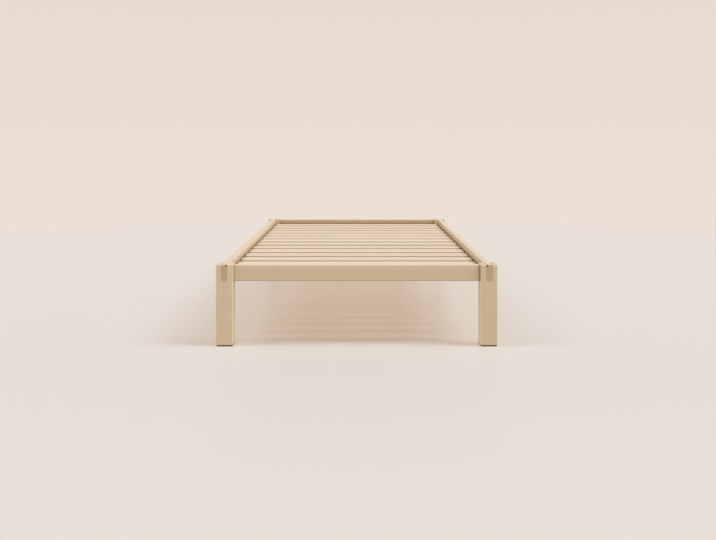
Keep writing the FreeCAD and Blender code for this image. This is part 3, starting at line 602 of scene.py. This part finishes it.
# ---------------------------------------------------------------- floor and studio
def make_floor():
    """A plain pale floor that fades into the backdrop with distance from the bed. It glows faintly
    warm, painted light that lifts its shadows, and is painted lighter and warmer towards the front.
    """
    rings, spokes = [0.0, 1.0, 2.0, 3.0, 4.5, 6.0, 8.0, 10.0], 64
    verts, faces = [(0.0, 0.0, 0.0)], []
    for r in rings[1:]:
        for k in range(spokes):
            a = 2 * math.pi * k / spokes
            verts.append((r * math.cos(a), r * math.sin(a), 0.0))
    for k in range(spokes):
        faces.append((0, 1 + k, 1 + (k + 1) % spokes))
    for i in range(len(rings) - 2):
        a0, b0 = 1 + i * spokes, 1 + (i + 1) * spokes
        for k in range(spokes):
            k2 = (k + 1) % spokes
            faces.append((a0 + k, b0 + k, b0 + k2, a0 + k2))
    mesh = bpy.data.meshes.new("floor")
    mesh.from_pydata(verts, [], faces)
    mesh.update()
    floor = bpy.data.objects.new("floor", mesh)
    scene.collection.objects.link(floor)

    material = bpy.data.materials.new("floor")
    material.use_nodes = True
    tree = material.node_tree
    tree.nodes.clear()
    g = Graph(tree)
    place = g.node("ShaderNodeTexCoord").outputs["Object"]
    far = g.vmath("LENGTH", place)
    mottle = g.noise(place, 1.4, 3.0, 0.5)
    color = g.mix(mottle, rgba(*FLOOR_A), rgba(*FLOOR_B))
    # Painted light: towards the front the floor is tinted lighter and warmer.
    front = g.math("MULTIPLY", g.split(place)[1], -1.0)
    color = g.mix(g.ramp(front, 0.9, 1.9), color, rgba(*FLOOR_NEAR_PAINTED_LIGHT))
    shader = g.node("ShaderNodeBsdfPrincipled")
    g.feed(shader.inputs["Base Color"], color)
    shader.inputs["Roughness"].default_value = 0.35
    shader.inputs["Specular IOR Level"].default_value = 0.2
    # Painted light: the floor glows faintly warm though it is no lamp, which lifts its shadows.
    shader.inputs["Emission Color"].default_value = rgba(*FLOOR_PAINTED_GLOW)
    shader.inputs["Emission Strength"].default_value = 1.0
    clear = g.node("ShaderNodeBsdfTransparent")
    fade = g.node("ShaderNodeMixShader")
    g.feed(fade.inputs[0], g.ramp(far, 2.1, 4.2))
    g.feed(fade.inputs[1], shader.outputs[0])
    g.feed(fade.inputs[2], clear.outputs[0])
    output = g.node("ShaderNodeOutputMaterial")
    g.feed(output.inputs["Surface"], fade.outputs[0])
    mesh.materials.append(material)
    return floor


FLOOR_A = (0.324, 0.425, 0.476)
FLOOR_B = (0.336, 0.435, 0.486)
FLOOR_NEAR_PAINTED_LIGHT = (0.377, 0.450, 0.480)
FLOOR_PAINTED_GLOW = (0.347, 0.212, 0.129)
make_floor()

world = bpy.data.worlds.new("studio")
world.use_nodes = True
scene.world = world
world.node_tree.nodes.clear()
g = Graph(world.node_tree)
east, north, up = g.split(g.node("ShaderNodeTexCoord").outputs["Generated"])
sky = g.mix(
    g.ramp(up, -0.09, 0.17, kind="LINEAR"), rgba(0.847, 0.738, 0.672), rgba(0.807, 0.701, 0.638)
)
sky = g.mix(g.ramp(up, 0.165, 0.5), sky, rgba(0.205, 0.245, 0.235))
background = g.node("ShaderNodeBackground")
g.feed(background.inputs["Color"], sky)
background.inputs["Strength"].default_value = 1.0
out = g.node("ShaderNodeOutputWorld")
g.feed(out.inputs["Surface"], background.outputs[0])

# Wide soft lights: a strong bank on the right, a weaker one on the left, a little from the front.
# Each has its slope to the side, its slope to the back and its strength per colour.
LIGHTS = (
    ("right_high", -0.5, 0.12, (0.993, 0.807, 0.835)),
    ("right_low", -1.0, 0.12, (1.266, 1.307, 1.270)),
    ("left_high", 0.5, 0.12, (0.401, 0.402, 0.442)),
    ("left_low", 1.0, 0.12, (0.883, 0.766, 0.706)),
    ("front", -0.1, 0.6, (0.322, 0.377, 0.325)),
)
for name, aside, back, strength in LIGHTS:
    data = bpy.data.lights.new(name, "SUN")
    data.energy = max(strength)
    data.color = tuple(c / max(strength) for c in strength)
    data.angle = math.radians(23.4)
    light = bpy.data.objects.new(name, data)
    light.location = (-3.0 * aside, -3.0 * back, 3.0)
    light.rotation_euler = Vector((aside, back, -1.0)).to_track_quat("-Z", "Y").to_euler()
    scene.collection.objects.link(light)
